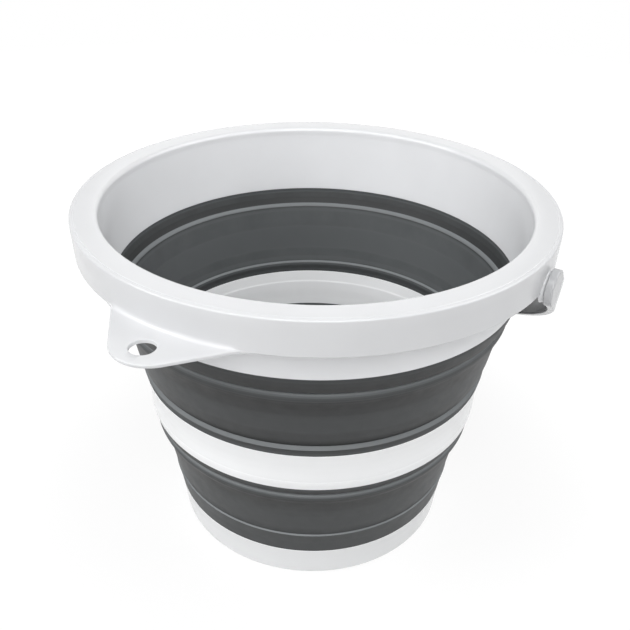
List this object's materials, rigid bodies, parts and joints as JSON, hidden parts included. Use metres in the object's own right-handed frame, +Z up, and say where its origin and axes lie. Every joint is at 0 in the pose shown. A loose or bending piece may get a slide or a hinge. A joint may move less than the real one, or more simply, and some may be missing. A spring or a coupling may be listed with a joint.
{
  "type": "collapsible camp bucket",
  "caption": "Round collapsible camp bucket: rigid rim frame, middle ring and base cup joined by soft folding bands, with a swinging bail and a hanging lug.",
  "frame": {"origin": "centre of the base's flat underside, where the bucket stands", "axes": "+Z up along the bucket's axis, +X along the bail's pivot axis, -Y towards the hanging lug; the bail hangs down on the +Y side"},
  "size_m": [0.3324, 0.3525, 0.248],
  "materials": {
    "white_plastic": "satin-gloss moulded polypropylene",
    "bail_plastic": "satin moulded polypropylene",
    "grey_rubber": "satin moulded thermoplastic rubber"
  },
  "bodies": {
    "base": {"base_cup": "white_plastic", "lower_band": "grey_rubber"},
    "ring": {"middle_ring": "white_plastic", "upper_band": "grey_rubber"},
    "rim": {"rim_frame": "white_plastic"},
    "bail": {"bail": "bail_plastic"}
  },
  "joints": [
    {"name": "lower_fold", "type": "slide", "parent": "base", "child": "ring", "axis": [0, 0, -1], "range_m": [0, 0.091], "deforming": ["lower_band"]},
    {"name": "upper_fold", "type": "slide", "parent": "ring", "child": "rim", "axis": [0, 0, -1], "range_m": [0, 0.091], "deforming": ["upper_band"]},
    {"name": "bail_swing", "type": "hinge", "parent": "rim", "child": "bail", "pos_m": [0, 0, 0.2265], "axis": [1, 0, 0], "range_deg": [0, 212]}
  ]
}
